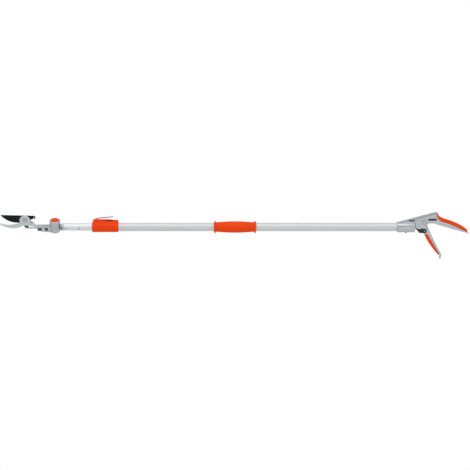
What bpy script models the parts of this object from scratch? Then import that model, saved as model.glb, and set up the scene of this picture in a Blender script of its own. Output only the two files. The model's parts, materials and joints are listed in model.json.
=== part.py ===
"""Telescoping long-reach pruner: a bypass cutting head that tilts on the end of a two-section aluminium pole,
worked by a trigger in a pistol-style handle at the other end.

World frame: +X runs along the pole from the cutting head to the handle, +Z is up, and the origin is on the
pole's axis at the middle of the foam hand grip. Three empties carry the groups of pieces: the clamp, the
handle (at the trigger's pivot) and the cutting head (on its tilt axis, rolled about the pole).
"""
import math

import bmesh
import bpy
from mathutils import Matrix

MM = 0.001

# Where the groups stand along the pole.
HANDLE_X = 726.5 * MM       # trigger pivot
CLAMP_X = -447.5 * MM       # rear face of the clamp housing
INNER_SHOWING = 109.0 * MM  # bare inner tube between the clamp and the head
HEAD_ROLL = math.radians(30)

# Clearances.
GAP = 0.3 * MM
RUNNING = 0.15 * MM

# Pole.
OUTER_R = 16.0 * MM
OUTER_WALL = 1.5 * MM
TUBE_PLAY = 0.75 * MM       # between the two tubes, on the radius
INNER_WALL = 1.5 * MM
TELESCOPE_TRAVEL = 1000.0 * MM
LEAST_OVERLAP = 120.0 * MM
TUBE_STEPS = 32

# Hand grip on the outer tube.
GRIP_LENGTH = 161.0 * MM
GRIP_END_WALL = 2.3 * MM
GRIP_MID_WALL = 6.0 * MM
GRIP_FLANGE_WALL = 8.2 * MM
GRIP_FLANGE_WIDTH = 6.5 * MM

# Rivets.
RIVET_R = 2.0 * MM
RIVET_HEAD_R = 4.2 * MM
RIVET_FOOT = 7.0 * MM       # how near the axis their feet reach

# Clamp.
CLAMP_LENGTH = 101.0 * MM
CLAMP_WALL = 3.6 * MM
CLAMP_STEPS = 40
CLAMP_BLOCK_HALF = 13.0 * MM
CLAMP_SEAT = 68.0 * MM      # how far the outer tube reaches into the housing
CLAMP_LIP = 3.7 * MM
SLEEVE_SPLIT = 3.0 * MM
RECESS_DEPTH = 2.2 * MM
SLOT_HALF = 6.8 * MM
SLOT_FLOOR_WALL = 4.6 * MM
LEVER_PIVOT_BACK = 12.5 * MM  # from the clamp's front
LEVER_PIVOT_RISE = 10.3 * MM  # above the outer tube
LEVER_PIN_R = 2.0 * MM
LEVER_CAM_R = 5.2 * MM
LEVER_STRAP_BACK = 19.5 * MM
LEVER_STRAP_EDGE = 3.2 * MM

# Drive rods.
REAR_ROD_R = 6.0 * MM
REAR_ROD_WALL = 1.4 * MM
FRONT_ROD_R = 4.2 * MM
ROD_FLANGE_R = 10.0 * MM
SPRING_WIRE_R = 0.7 * MM

# Handle, measured from the trigger pivot along the pole and from the pole's axis upwards.
PIVOT_Z = 16.9 * MM
COLLAR_FRONT = -104.7 * MM
COLLAR_REAR = -35.7 * MM
COLLAR_WALL = 4.5 * MM
TUBE_END = -43.0 * MM
CAVITY_FRONT = -38.0 * MM
CHEEK_WALL = 3.0 * MM
SIDE_PLAY = 0.4 * MM
CHEEK_THICKNESS = 2.5 * MM
PIVOT_PIN_R = 4.0 * MM
TRIGGER_HALF = 8.0 * MM
TRIGGER_FORK_HALF = 3.3 * MM
TRIGGER_SWING = math.radians(36)
ROD_EYE_HALF = 2.8 * MM
DRIVE_PIN_R = 2.5 * MM
CATCH_CHEEK = 2.6 * MM
CATCH_PIVOT = (1.2 * MM, -16.9 * MM)
CATCH_PIN_R = 2.0 * MM
SCREW_R = 2.0 * MM
SCREW_X = -71.4 * MM

# Cutting head, measured from the tilt axis.
EYE_R = 20.0 * MM
EYE_LOW = -4.8 * MM
EYE_HIGH = 6.7 * MM
BARREL_R = 20.0 * MM
BARREL_TOP = 30.0 * MM
BARREL_FLOOR = 13.0 * MM
LOWER_DISC_R = 18.0 * MM
LOWER_DISC_LOW = -19.3 * MM
SOCKET_FRONT = 27.0 * MM
SOCKET_REAR = 33.0 * MM
PLUG_LENGTH = 29.0 * MM
BUTTON_R = 15.5 * MM
BUTTON_LOW = 21.0 * MM
BUTTON_TOP = 31.4 * MM
TILT_PIN_R = 4.0 * MM
CHANNEL_HALF = 2.2 * MM
HEAD_HALF = 10.0 * MM
HOOK_THICKNESS = 4.2 * MM
BLADE_THICKNESS = 3.0 * MM
LINK_THICKNESS = 2.5 * MM
BLADE_PIVOT = (-115.2 * MM, 30.5 * MM)
BLADE_ARM = (6.7 * MM, -32.5 * MM)  # from the blade's pivot to its link pin
BLADE_SWING = math.radians(23)
BOLT_R = 4.0 * MM
LINK_PIN_R = 2.2 * MM
LINK_PLAY = 0.45 * MM
PULL_ROD_R = 2.5 * MM
PULL_BORE_R = 3.7 * MM
LINK_CLEARANCE = 0.25 * MM
PULL_Z = -6.5 * MM
LINK_END = -35.0 * MM       # rear end of the pull link
ROD_TIP = 22.0 * MM
HOOK_RIVET = (-45.4 * MM, 1.6 * MM)
STOP_SCREW = (-92.2 * MM, 20.0 * MM)

# Worked out from the sizes above.
CLAMP_FRONT = CLAMP_X - CLAMP_LENGTH
OUTER_FRONT = CLAMP_X - CLAMP_SEAT
OUTER_REAR = HANDLE_X + TUBE_END
OUTER_BORE_R = OUTER_R - OUTER_WALL
INNER_R = OUTER_BORE_R - TUBE_PLAY
CLAMP_R = OUTER_R + CLAMP_WALL
COLLAR_R = OUTER_R + COLLAR_WALL
SLOT_FLOOR = OUTER_R + SLOT_FLOOR_WALL
LEVER_PIVOT = (LEVER_PIVOT_BACK - CLAMP_LENGTH, OUTER_R + LEVER_PIVOT_RISE)
LEVER_STRAP_X = LEVER_STRAP_BACK - CLAMP_LENGTH
CATCH_HALF = TRIGGER_HALF + CATCH_CHEEK
CAVITY_HALF = CATCH_HALF + SIDE_PLAY
BODY_HALF = CAVITY_HALF + CHEEK_WALL
INNER_FRONT = CLAMP_FRONT - INNER_SHOWING
INNER_REAR = OUTER_FRONT + LEAST_OVERLAP + TELESCOPE_TRAVEL
INNER_BORE_R = INNER_R - INNER_WALL
TILT_X = INNER_FRONT - SOCKET_REAR - GAP
RIVET_A = SOCKET_REAR + 9.2 * MM
RIVET_B = SOCKET_REAR + 59.1 * MM
BLADE_LOW = GAP / 2
BLADE_HIGH = BLADE_LOW + BLADE_THICKNESS
PULL_Y = BLADE_HIGH + LINK_CLEARANCE + LINK_THICKNESS / 2
HOOK_HIGH = -GAP / 2
HOOK_LOW = HOOK_HIGH - HOOK_THICKNESS
LINK_LOW = PULL_Y - LINK_THICKNESS / 2
LINK_HIGH = PULL_Y + LINK_THICKNESS / 2
LINK_PIN = (BLADE_PIVOT[0] + BLADE_ARM[0], BLADE_PIVOT[1] + BLADE_ARM[1])
PULL = BLADE_ARM[0] * (math.cos(BLADE_SWING) - 1) - BLADE_ARM[1] * math.sin(BLADE_SWING)
PIN_RISE = BLADE_ARM[0] * math.sin(BLADE_SWING) + BLADE_ARM[1] * (math.cos(BLADE_SWING) - 1)
DRIVE_ARM = PULL / (2 * math.sin(TRIGGER_SWING / 2))
DRIVE_PIN = (-DRIVE_ARM * math.sin(TRIGGER_SWING / 2), PIVOT_Z - DRIVE_ARM * math.cos(TRIGGER_SWING / 2))
DRIVE_PIN_DROP = DRIVE_ARM * (1 - math.cos(TRIGGER_SWING / 2))


def fresh_collection(name):
    """An empty collection of this name, linked to the scene."""
    collection = bpy.data.collections.new(name)
    bpy.context.scene.collection.children.link(collection)
    return collection


for leftover in list(bpy.data.objects):
    bpy.data.objects.remove(leftover)
PARTS = fresh_collection("telescoping_pruner")
CUTTERS = fresh_collection("cutters")


def material(name, colour, roughness, metallic):
    """A Principled material with one colour."""
    made = bpy.data.materials.new(name)
    made.use_nodes = True
    shader = made.node_tree.nodes["Principled BSDF"]
    shader.inputs["Base Color"].default_value = (*colour, 1)
    shader.inputs["Roughness"].default_value = roughness
    shader.inputs["Metallic"].default_value = metallic
    return made


ANODISED = material("anodised_tube", (0.74, 0.76, 0.76), 0.38, 0.8)
BRIGHT_TUBE = material("bright_tube", (0.82, 0.84, 0.85), 0.28, 0.9)
ORANGE = material("orange_plastic", (0.75, 0.07, 0.01), 0.42, 0.0)
CASTING = material("die_casting", (0.52, 0.54, 0.57), 0.45, 0.85)
BLADE_STEEL = material("coated_blade", (0.012, 0.013, 0.017), 0.32, 0.3)
PLATE_STEEL = material("hook_steel", (0.48, 0.54, 0.57), 0.35, 0.85)
SPRING_STEEL = material("bright_steel", (0.56, 0.55, 0.53), 0.3, 0.95)
LEVER_STEEL = material("lever_steel", (0.30, 0.27, 0.25), 0.35, 0.9)
BLACK = material("black_plastic", (0.012, 0.012, 0.014), 0.5, 0.0)
NYLON = material("nylon", (0.08, 0.08, 0.085), 0.55, 0.0)


# ---------------------------------------------------------------- outlines

def circle(centre, radius, steps=24, start=0.0, sweep=360.0):
    """Points along an arc, in degrees from +X; a full circle leaves its last point out."""
    count = steps if sweep >= 360 else steps + 1
    angles = [math.radians(start + sweep * i / steps) for i in range(count)]
    return [(centre[0] + radius * math.cos(a), centre[1] + radius * math.sin(a)) for a in angles]


def bezier(start, handle_a, handle_b, end, steps=8):
    """Points along a cubic curve."""
    points = []
    for i in range(steps + 1):
        t = i / steps
        weights = ((1 - t) ** 3, 3 * t * (1 - t) ** 2, 3 * t * t * (1 - t), t ** 3)
        points.append(tuple(sum(w * p[k] for w, p in zip(weights, (start, handle_a, handle_b, end)))
                            for k in (0, 1)))
    return points


def millimetres(points):
    return [(x * MM, z * MM) for x, z in points]


def above_tube(points, start):
    """Points in millimetres, along the pole from start and up from the top of the outer tube."""
    return [(start + x * MM, OUTER_R + z * MM) for x, z in points]


def box_outline(low_x, low_z, high_x, high_z):
    return [(low_x, low_z), (high_x, low_z), (high_x, high_z), (low_x, high_z)]


def fillet(points, radius, steps=4):
    """The same outline with each corner turned into an arc of this radius, or less beside a short side."""
    rounded = []
    count = len(points)
    for i, (x, z) in enumerate(points):
        before, after = points[i - 1], points[(i + 1) % count]
        in_x, in_z = before[0] - x, before[1] - z
        out_x, out_z = after[0] - x, after[1] - z
        in_length, out_length = math.hypot(in_x, in_z), math.hypot(out_x, out_z)
        in_x, in_z, out_x, out_z = in_x / in_length, in_z / in_length, out_x / out_length, out_z / out_length
        half = math.acos(max(-1.0, min(1.0, in_x * out_x + in_z * out_z))) / 2
        reach = min(radius / math.tan(half), 0.45 * in_length, 0.45 * out_length)
        for k in range(steps + 1):
            t = k / steps
            a, b, c = (1 - t) ** 2, 2 * t * (1 - t), t * t
            rounded.append((a * (x + in_x * reach) + b * x + c * (x + out_x * reach),
                            a * (z + in_z * reach) + b * z + c * (z + out_z * reach)))
    return rounded


def beside(points, distance):
    """The same open line moved to its left by this distance."""
    moved = []
    for i, (x, z) in enumerate(points):
        before, after = points[max(i - 1, 0)], points[min(i + 1, len(points) - 1)]
        length = math.hypot(after[0] - before[0], after[1] - before[1])
        moved.append((x - (after[1] - before[1]) / length * distance, z + (after[0] - before[0]) / length * distance))
    return moved


# ---------------------------------------------------------------- solids

def frame(name, location, roll=0.0):
    """An empty that carries a group of pieces."""
    made = bpy.data.objects.new(name, None)
    PARTS.objects.link(made)
    made.location = location
    made.rotation_euler = (roll, 0, 0)
    return made


def own(obj, name, finish, parent, collection=PARTS):
    """Names an object and puts it in its collection, under its parent, with its material."""
    obj.name = name
    obj.parent = parent
    collection.objects.link(obj)
    if finish:
        obj.data.materials.append(finish)
    if collection is CUTTERS:
        obj.hide_render = True
        obj.display_type = "WIRE"
    return obj


def plate(name, outlines, low, high, finish, parent=None, pivot=(0.0, 0.0), collection=PARTS):
    """A flat piece in the XZ plane from y low to y high. The first outline is its edge and any others are
    holes. Its origin is at pivot."""
    curve = bpy.data.curves.new(name, "CURVE")
    curve.dimensions = "2D"
    curve.fill_mode = "BOTH"
    curve.extrude = (high - low) / 2
    for outline in outlines:
        spline = curve.splines.new("POLY")
        spline.points.add(len(outline) - 1)
        for point, (x, z) in zip(spline.points, outline):
            point.co = (x - pivot[0], z - pivot[1], 0, 1)
        spline.use_cyclic_u = True
    drawn = bpy.data.objects.new(name + "_outline", curve)
    PARTS.objects.link(drawn)
    bpy.context.view_layer.update()
    mesh = bpy.data.meshes.new_from_object(drawn.evaluated_get(bpy.context.evaluated_depsgraph_get()))
    bpy.data.objects.remove(drawn)
    welded = bmesh.new()
    welded.from_mesh(mesh)
    bmesh.ops.remove_doubles(welded, verts=welded.verts, dist=1e-6)
    bmesh.ops.recalc_face_normals(welded, faces=welded.faces)
    welded.to_mesh(mesh)
    welded.free()
    mesh.materials.clear()
    made = own(bpy.data.objects.new(name, mesh), name, finish, parent, collection)
    made.location = (pivot[0], (low + high) / 2, pivot[1])
    made.rotation_euler = (math.pi / 2, 0, 0)
    return made


TURN = {"X": (0, math.pi / 2, 0), "Y": (-math.pi / 2, 0, 0), "-Y": (math.pi / 2, 0, 0), "Z": (0, 0, 0)}


def turned(name, profile, finish, parent=None, at=(0, 0, 0), axis="X", steps=24, ring=False,
           collection=PARTS):
    """A turned piece. The profile is (radius, height) from the top of its outer side downwards, with height
    along the axis; a ring's profile is closed."""
    mesh = bpy.data.meshes.new(name)
    shape = bmesh.new()
    verts = [shape.verts.new((radius, 0, height)) for radius, height in profile]
    for a, b in zip(verts, verts[1:]):
        shape.edges.new((a, b))
    if ring:
        shape.edges.new((verts[-1], verts[0]))
    shape.to_mesh(mesh)
    shape.free()
    made = own(bpy.data.objects.new(name, mesh), name, finish, parent, collection)
    screw = made.modifiers.new("turn", "SCREW")
    screw.steps = steps
    screw.render_steps = steps
    screw.use_merge_vertices = True
    screw.merge_threshold = 1e-5
    screw.use_smooth_shade = False
    made.location = at
    made.rotation_euler = TURN[axis]
    return made


def cylinder_profile(radius, low, high):
    return [(0, high), (radius, high), (radius, low), (0, low)]


def ring_profile(radius, bore, low, high):
    return [(radius, high), (radius, low), (bore, low), (bore, high)]


def stepped_profile(steps):
    """A solid turned profile from (radius, low, high) sections, the highest first."""
    profile = [(0, steps[0][2])]
    for radius, low, high in steps:
        profile += [(radius, high), (radius, low)]
    return profile + [(0, steps[-1][1])]


def combine(target, tool, operation):
    """A Boolean of the target with a tool, which goes to the cutters."""
    change = target.modifiers.new(tool.name, "BOOLEAN")
    change.operation = operation
    change.solver = "EXACT"
    change.object = tool
    return target


def cut_turned(target, profile, parent=None, at=(0, 0, 0), axis="X", steps=24):
    """Cuts a turned shape."""
    name = f"{target.name}_hole_{len(target.modifiers)}"
    tool = turned(name, profile, None, parent, at, axis, steps, collection=CUTTERS)
    return combine(target, tool, "DIFFERENCE")


def cut_round(target, radius, low, high, parent=None, at=(0, 0, 0), axis="X", steps=24):
    """Cuts a round hole."""
    return cut_turned(target, cylinder_profile(radius, low, high), parent, at, axis, steps)


def cut_plate(target, outline, low, high, parent=None, pivot=(0.0, 0.0)):
    """Cuts the shape of a flat plate."""
    name = f"{target.name}_cut_{len(target.modifiers)}"
    tool = plate(name, [outline], low, high, None, parent, pivot, collection=CUTTERS)
    return combine(target, tool, "DIFFERENCE")


def add_round(target, profile, parent=None, at=(0, 0, 0), axis="X", steps=32):
    """Joins a turned shape on."""
    name = f"{target.name}_add_{len(target.modifiers)}"
    tool = turned(name, profile, None, parent, at, axis, steps, collection=CUTTERS)
    return combine(target, tool, "UNION")


def add_plate(target, outline, low, high, parent=None):
    """Joins a flat plate on."""
    name = f"{target.name}_add_{len(target.modifiers)}"
    tool = plate(name, [outline], low, high, None, parent, collection=CUTTERS)
    return combine(target, tool, "UNION")


def coil(name, radius, wire, start, end, turns, finish, parent, at, axis, per_turn=10):
    """A coil spring along an axis."""
    curve = bpy.data.curves.new(name, "CURVE")
    curve.dimensions = "3D"
    curve.bevel_depth = wire
    curve.bevel_resolution = 2
    curve.use_fill_caps = True
    spline = curve.splines.new("POLY")
    count = turns * per_turn
    spline.points.add(count)
    low, high = start + wire, end - wire
    for i, point in enumerate(spline.points):
        angle = 2 * math.pi * i / per_turn
        height = low + (high - low) * i / count
        point.co = (radius * math.cos(angle), radius * math.sin(angle), height, 1)
    made = own(bpy.data.objects.new(name, curve), name, finish, parent)
    made.location = at
    made.rotation_euler = TURN[axis]
    return made


# ---------------------------------------------------------------- pole

def build_pole():
    """The outer tube with its hand grip."""
    turned("outer_tube", ring_profile(OUTER_R, OUTER_BORE_R, OUTER_FRONT, OUTER_REAR), ANODISED,
           steps=TUBE_STEPS, ring=True)
    half = GRIP_LENGTH / 2
    barrel = half - GRIP_FLANGE_WIDTH
    bore = OUTER_R + GAP
    swelling = GRIP_MID_WALL - GRIP_END_WALL
    swell = [(OUTER_R + GRIP_END_WALL + swelling * math.cos(math.pi * i / 12), barrel * i / 6)
             for i in range(6, -7, -1)]
    flange = OUTER_R + GRIP_FLANGE_WALL
    profile = [(flange, half), (flange, barrel)] + swell
    profile += [(flange, -barrel), (flange, -half), (bore, -half), (bore, half)]
    turned("hand_grip", profile, ORANGE, steps=TUBE_STEPS, ring=True)


def build_inner_pole(head):
    """The inner tube, its guide bush and its rivets, in the head's rolled frame."""
    front, rear = INNER_FRONT - TILT_X, INNER_REAR - TILT_X
    tube = turned("inner_tube", ring_profile(INNER_R, INNER_BORE_R, front, rear), BRIGHT_TUBE, head,
                  steps=TUBE_STEPS, ring=True)
    for x in (RIVET_A, RIVET_B):
        cut_round(tube, RIVET_R + RUNNING, 0, INNER_R + 5 * MM, head, (x, 0, 0), "-Y", 12)
    rod_bore = REAR_ROD_R + 2 * GAP
    spigot = INNER_BORE_R - GAP
    bush_end = rear + 15 * MM
    turned("guide_bush", [(OUTER_BORE_R - GAP, bush_end), (OUTER_BORE_R - GAP, rear + GAP),
                          (spigot, rear + GAP), (spigot, rear - 12 * MM),
                          (rod_bore, rear - 12 * MM), (rod_bore, bush_end)],
           NYLON, head, steps=TUBE_STEPS, ring=True)
    guide = turned("rod_guide_front", ring_profile(spigot, FRONT_ROD_R + GAP, RIVET_B - 5 * MM, RIVET_B + 5 * MM),
                   NYLON, head, ring=True)
    cut_round(guide, RIVET_R + RUNNING, RIVET_FOOT - 1 * MM, INNER_R, head, (RIVET_B, 0, 0), "-Y", 12)
    for name, x in (("pole_rivet_front", RIVET_A), ("pole_rivet_rear", RIVET_B)):
        turned(name, stepped_profile([(RIVET_HEAD_R, INNER_R + GAP, INNER_R + GAP + 1.3 * MM),
                                      (RIVET_R, RIVET_FOOT, INNER_R + GAP)]),
               SPRING_STEEL, head, (x, 0, 0), "-Y", 16)


# ---------------------------------------------------------------- clamp

def build_clamp():
    """The clamp housing, its split sleeve and its flip lever."""
    clamp = frame("clamp_frame", (CLAMP_X, 0, 0))
    pivot_x, pivot_z = LEVER_PIVOT
    nose = above_tube([(2.0, -11.0), (3.0, 6.0), (5.7, 15.0), (31.0, 14.6)], -CLAMP_LENGTH)
    tail = above_tube([(-33, 13.8), (-20, 12.0), (-14, 11.4), (-0.4, 11.4), (-0.4, -11)], 0)
    block = nose + tail
    housing = plate("clamp_housing", [block], -CLAMP_BLOCK_HALF, CLAMP_BLOCK_HALF, ORANGE, clamp)
    edge = 2.5 * MM
    add_round(housing, [(0, 0), (CLAMP_R, 0), (CLAMP_R, edge - CLAMP_LENGTH),
                        (CLAMP_R - edge, -CLAMP_LENGTH), (0, -CLAMP_LENGTH)], clamp, steps=CLAMP_STEPS)
    seat = CLAMP_LIP - CLAMP_LENGTH
    cut_turned(housing, stepped_profile([(OUTER_R + GAP, seat, 1 * MM),
                                         (INNER_R + GAP, -CLAMP_LENGTH - 1 * MM, seat)]), clamp, steps=TUBE_STEPS)
    cam_slot = box_outline(1 * MM - CLAMP_LENGTH, SLOT_FLOOR, LEVER_STRAP_X + 2.5 * MM, OUTER_R + 24 * MM)
    cut_plate(housing, cam_slot, -SLOT_HALF, SLOT_HALF, clamp)
    for side in (-1, 1):
        reach = sorted((side * (CLAMP_BLOCK_HALF - RECESS_DEPTH), side * (CLAMP_BLOCK_HALF + 1 * MM)))
        recess = above_tube(box_outline(49, 6.6, 79, 10.6), -CLAMP_LENGTH)
        cut_plate(housing, fillet(recess, 1.5 * MM, 2), *reach, clamp)
    pin_low, pin_high = -CLAMP_BLOCK_HALF + 2.5 * MM, CLAMP_BLOCK_HALF - 0.5 * MM
    cut_round(housing, LEVER_PIN_R + RUNNING, pin_low - GAP, CLAMP_BLOCK_HALF + 1 * MM, clamp,
              (pivot_x, 0, pivot_z), "Y", 16)

    sleeve_low, sleeve_high = CLAMP_LIP - CLAMP_LENGTH + GAP, -CLAMP_SEAT - GAP
    sleeve = turned("clamp_sleeve", ring_profile(OUTER_R, INNER_R + GAP / 2, sleeve_low, sleeve_high), NYLON,
                    clamp, steps=TUBE_STEPS, ring=True)
    cut_plate(sleeve, box_outline(sleeve_low - 1 * MM, 0, sleeve_high + 1 * MM, OUTER_R + 1 * MM),
              -SLEEVE_SPLIT / 2, SLEEVE_SPLIT / 2, clamp)

    build_clamp_lever(clamp)
    turned("clamp_lever_pin", cylinder_profile(LEVER_PIN_R, pin_low, pin_high), SPRING_STEEL, clamp,
           (pivot_x, 0, pivot_z), "Y", 16)


def build_clamp_lever(clamp):
    """The steel lever: a strap over the block with a cam between the block's cheeks at its pivot."""
    pivot_x, pivot_z = LEVER_PIVOT
    outer = SLOT_HALF + LEVER_STRAP_EDGE
    back = LEVER_STRAP_BACK / MM
    strap = above_tube([(back, 15.6), (31, 18.0), (42, 19.0), (54, 19.6), (63, 20.0), (80, 21.8), (80.8, 25.0),
                        (63, 23.1), (54, 22.7), (42, 22.1), (31, 20.9), (back, 18.4)], -CLAMP_LENGTH)
    lever = plate("clamp_lever", [strap], -outer, outer, LEVER_STEEL, clamp, LEVER_PIVOT)
    cam = circle(LEVER_PIVOT, LEVER_CAM_R, 12, 95, 265)
    cam += [(pivot_x + 6 * MM, pivot_z + 4.4 * MM)]
    cam += [(LEVER_STRAP_X + 4 * MM, pivot_z + 6.1 * MM), (LEVER_STRAP_X + 4 * MM, pivot_z + 8.6 * MM)]
    add_plate(lever, cam, -SLOT_HALF + GAP, SLOT_HALF - GAP, clamp)
    cut_round(lever, LEVER_PIN_R + RUNNING, -20 * MM, 20 * MM, clamp, (pivot_x, 0, pivot_z), "Y", 16)
    scallop = above_tube([(71, 14), (82, 14), (82, 29), (71, 29)], -CLAMP_LENGTH)
    for low, high in ((-outer - 1 * MM, -outer + 2.5 * MM), (outer - 2.5 * MM, outer + 1 * MM)):
        cut_plate(lever, scallop, low, high, clamp)


# ---------------------------------------------------------------- drive

def build_drive(handle, head):
    """The rear rod tube, the front rod that slides inside it, and their guide and return spring."""
    eye_x, eye_z = DRIVE_PIN
    rod_end = eye_x - 16 * MM
    front = OUTER_FRONT + 15 * MM - HANDLE_X
    flange_x = TUBE_END - 26 * MM
    bore = REAR_ROD_R - REAR_ROD_WALL
    rod = turned("drive_rod_rear",
                 [(REAR_ROD_R, rod_end), (REAR_ROD_R, flange_x + 2 * MM), (ROD_FLANGE_R, flange_x + 2 * MM),
                  (ROD_FLANGE_R, flange_x), (REAR_ROD_R, flange_x), (REAR_ROD_R, front), (bore, front),
                  (bore, flange_x + 10 * MM), (0, flange_x + 10 * MM), (0, rod_end)],
                 SPRING_STEEL, handle, steps=16, ring=True)
    half_slot = DRIVE_PIN_R + LINK_PLAY
    eye_r = 7.2 * MM
    strap = [(rod_end - 4 * MM, -4 * MM)] + [(eye_x, eye_z - eye_r)]
    strap += circle(DRIVE_PIN, eye_r, 8, -80, 160) + [(rod_end - 4 * MM, 4 * MM)]
    add_plate(rod, strap, -ROD_EYE_HALF, ROD_EYE_HALF, handle)
    slot = circle((eye_x, eye_z - DRIVE_PIN_DROP), half_slot, 8, 180, 180)
    slot += circle((eye_x, eye_z + LINK_PLAY), half_slot, 8, 0, 180)
    cut_plate(rod, slot, -ROD_EYE_HALF - 1 * MM, ROD_EYE_HALF + 1 * MM, handle)

    spread = ROD_FLANGE_R - SPRING_WIRE_R - 0.5 * MM
    coil("return_spring", spread, SPRING_WIRE_R, flange_x + 2 * MM + GAP, TUBE_END - GAP, 5, SPRING_STEEL,
         handle, (0, 0, 0), "X")
    turned("rod_guide_rear", ring_profile(OUTER_BORE_R - GAP, REAR_ROD_R + GAP, flange_x - 14 * MM,
                                          flange_x - 4 * MM), NYLON, handle, ring=True)

    front_rod_rear = OUTER_FRONT + 15 * MM + TELESCOPE_TRAVEL + LEAST_OVERLAP - TILT_X
    turned("drive_rod_front", cylinder_profile(FRONT_ROD_R, ROD_TIP, front_rod_rear), SPRING_STEEL, head,
           steps=16)


# ---------------------------------------------------------------- handle

def build_handle(handle):
    """The cast handle, its grip pad, cheek covers and fasteners."""
    seat = bezier((47.0, 57.0), (48.5, 38.0), (50.5, 20.5), (84.0, 15.2), 8)
    seat += bezier((84.0, 15.2), (112.0, 7.2), (141.0, -9.9), (164.0, -19.6), 7)[1:]
    seat = millimetres(seat)
    ridge = millimetres([(-101.0, 18.0), (40.5, 55.6)])
    tip = [(170.5, -21.5), (172.7, -24.9), (168.0, -25.3)]
    under = bezier((154.7, -20.3), (110.0, -8.5), (70.0, 2.5), (52.0, 9.0), 5) + [(34.0, 13.6), (12.0, 12.3)]
    cheek = [(11.0, -5.8), (-35.7, -5.8), (-40.0, -12.0), (-60.0, -12.0), (-101.0, 8.0)]
    outline = ridge + seat + millimetres(tip + under + cheek)
    casting = plate("handle_casting", [outline], -BODY_HALF, BODY_HALF, CASTING, handle)
    band = millimetres([(-101, 13.0), (-101, 19.4), (43.0, 57.8), (46.6, 57.4), (47.6, 51.5), (40, 49.6)])
    add_plate(casting, band, -BODY_HALF - 1.6 * MM, BODY_HALF + 1.6 * MM, handle)
    chamfer = 2.0 * MM
    add_round(casting, [(0, COLLAR_REAR), (COLLAR_R, COLLAR_REAR), (COLLAR_R, COLLAR_FRONT + chamfer),
                        (COLLAR_R - chamfer, COLLAR_FRONT), (0, COLLAR_FRONT)], handle)
    cut_round(casting, OUTER_R + GAP, COLLAR_FRONT - 1 * MM, TUBE_END + GAP, handle, steps=TUBE_STEPS)
    cut_round(casting, REAR_ROD_R + 2 * GAP, TUBE_END - 1 * MM, CAVITY_FRONT + 1 * MM, handle)
    roof = PIVOT_Z + 13.6 * MM
    cavity = [(CAVITY_FRONT, -30 * MM), (24 * MM, -30 * MM), (24 * MM, PIVOT_Z + 2 * MM),
              (13.6 * MM, PIVOT_Z + 2 * MM), (13.6 * MM, roof), (CAVITY_FRONT, roof)]
    cut_plate(casting, cavity, -CAVITY_HALF, CAVITY_HALF, handle)
    for low, high in ((-BODY_HALF - 3 * MM, -CAVITY_HALF - 0.9 * MM), (CAVITY_HALF + 0.9 * MM, BODY_HALF + 3 * MM)):
        cut_plate(casting, fillet(millimetres(box_outline(-59, 20.6, -37.5, 26.4)), 2 * MM, 2), low, high, handle)
    for low, high in ((-BODY_HALF - 3 * MM, -BODY_HALF + 5 * MM), (BODY_HALF - 5 * MM, BODY_HALF + 3 * MM)):
        cut_plate(casting, fillet(millimetres(box_outline(15.5, 23.6, 47.0, 31.9)), 2.5 * MM, 2), low, high, handle)
    cut_round(casting, PIVOT_PIN_R + RUNNING, -20 * MM, 20 * MM, handle, (0, 0, PIVOT_Z), "Y", 20)
    cut_round(casting, SCREW_R + RUNNING, -25 * MM, -10 * MM, handle, (SCREW_X, 0, 0), "Z", 12)

    pad_top = bezier((49.4, 57.6), (53.0, 36.5), (74.0, 34.0), (91.0, 28.2), 7)
    pad_top += bezier((91.0, 28.2), (116.0, 20.3), (144.0, 8.0), (163.8, -9.8), 6)[1:] + [(166.0, -16.6)]
    pad_outline = millimetres(pad_top) + beside(seat, GAP)[::-1]
    plate("grip_pad", [pad_outline], -BODY_HALF + 0.5 * MM, BODY_HALF - 0.5 * MM, ORANGE, handle)


def build_handle_fittings(handle):
    """The cheek covers, pivot pin and collar screw."""
    cheek = fillet(millimetres([(-34.5, -5.4), (9.5, -5.4), (9.5, 25.7), (-34.5, 22.0)]), 5 * MM, 3)
    hole = circle((0, PIVOT_Z), PIVOT_PIN_R + RUNNING, 16)
    face = BODY_HALF + GAP
    for name, low, high in (("cheek_cover_near", -face - CHEEK_THICKNESS, -face),
                            ("cheek_cover_far", face, face + CHEEK_THICKNESS)):
        plate(name, [cheek, hole], low, high, CASTING, handle)
    outside = face + CHEEK_THICKNESS + GAP
    turned("trigger_pivot_pin", stepped_profile([(6.5 * MM, outside, outside + 2.0 * MM),
                                                 (PIVOT_PIN_R, -outside - 3.0 * MM, outside)]),
           SPRING_STEEL, handle, (0, 0, PIVOT_Z), "Y", 20)
    nut = [circle((0, PIVOT_Z), 6.6 * MM, 6), hole]
    plate("trigger_pivot_nut", nut, -outside - 2.6 * MM, -outside, SPRING_STEEL, handle, (0, PIVOT_Z))
    turned("collar_screw", stepped_profile([(SCREW_R, -COLLAR_R, -OUTER_R - 2 * GAP),
                                            (4.0 * MM, -COLLAR_R - 2.4 * MM, -COLLAR_R - GAP)]),
           SPRING_STEEL, handle, (SCREW_X, 0, 0), "Z", 12)


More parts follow.
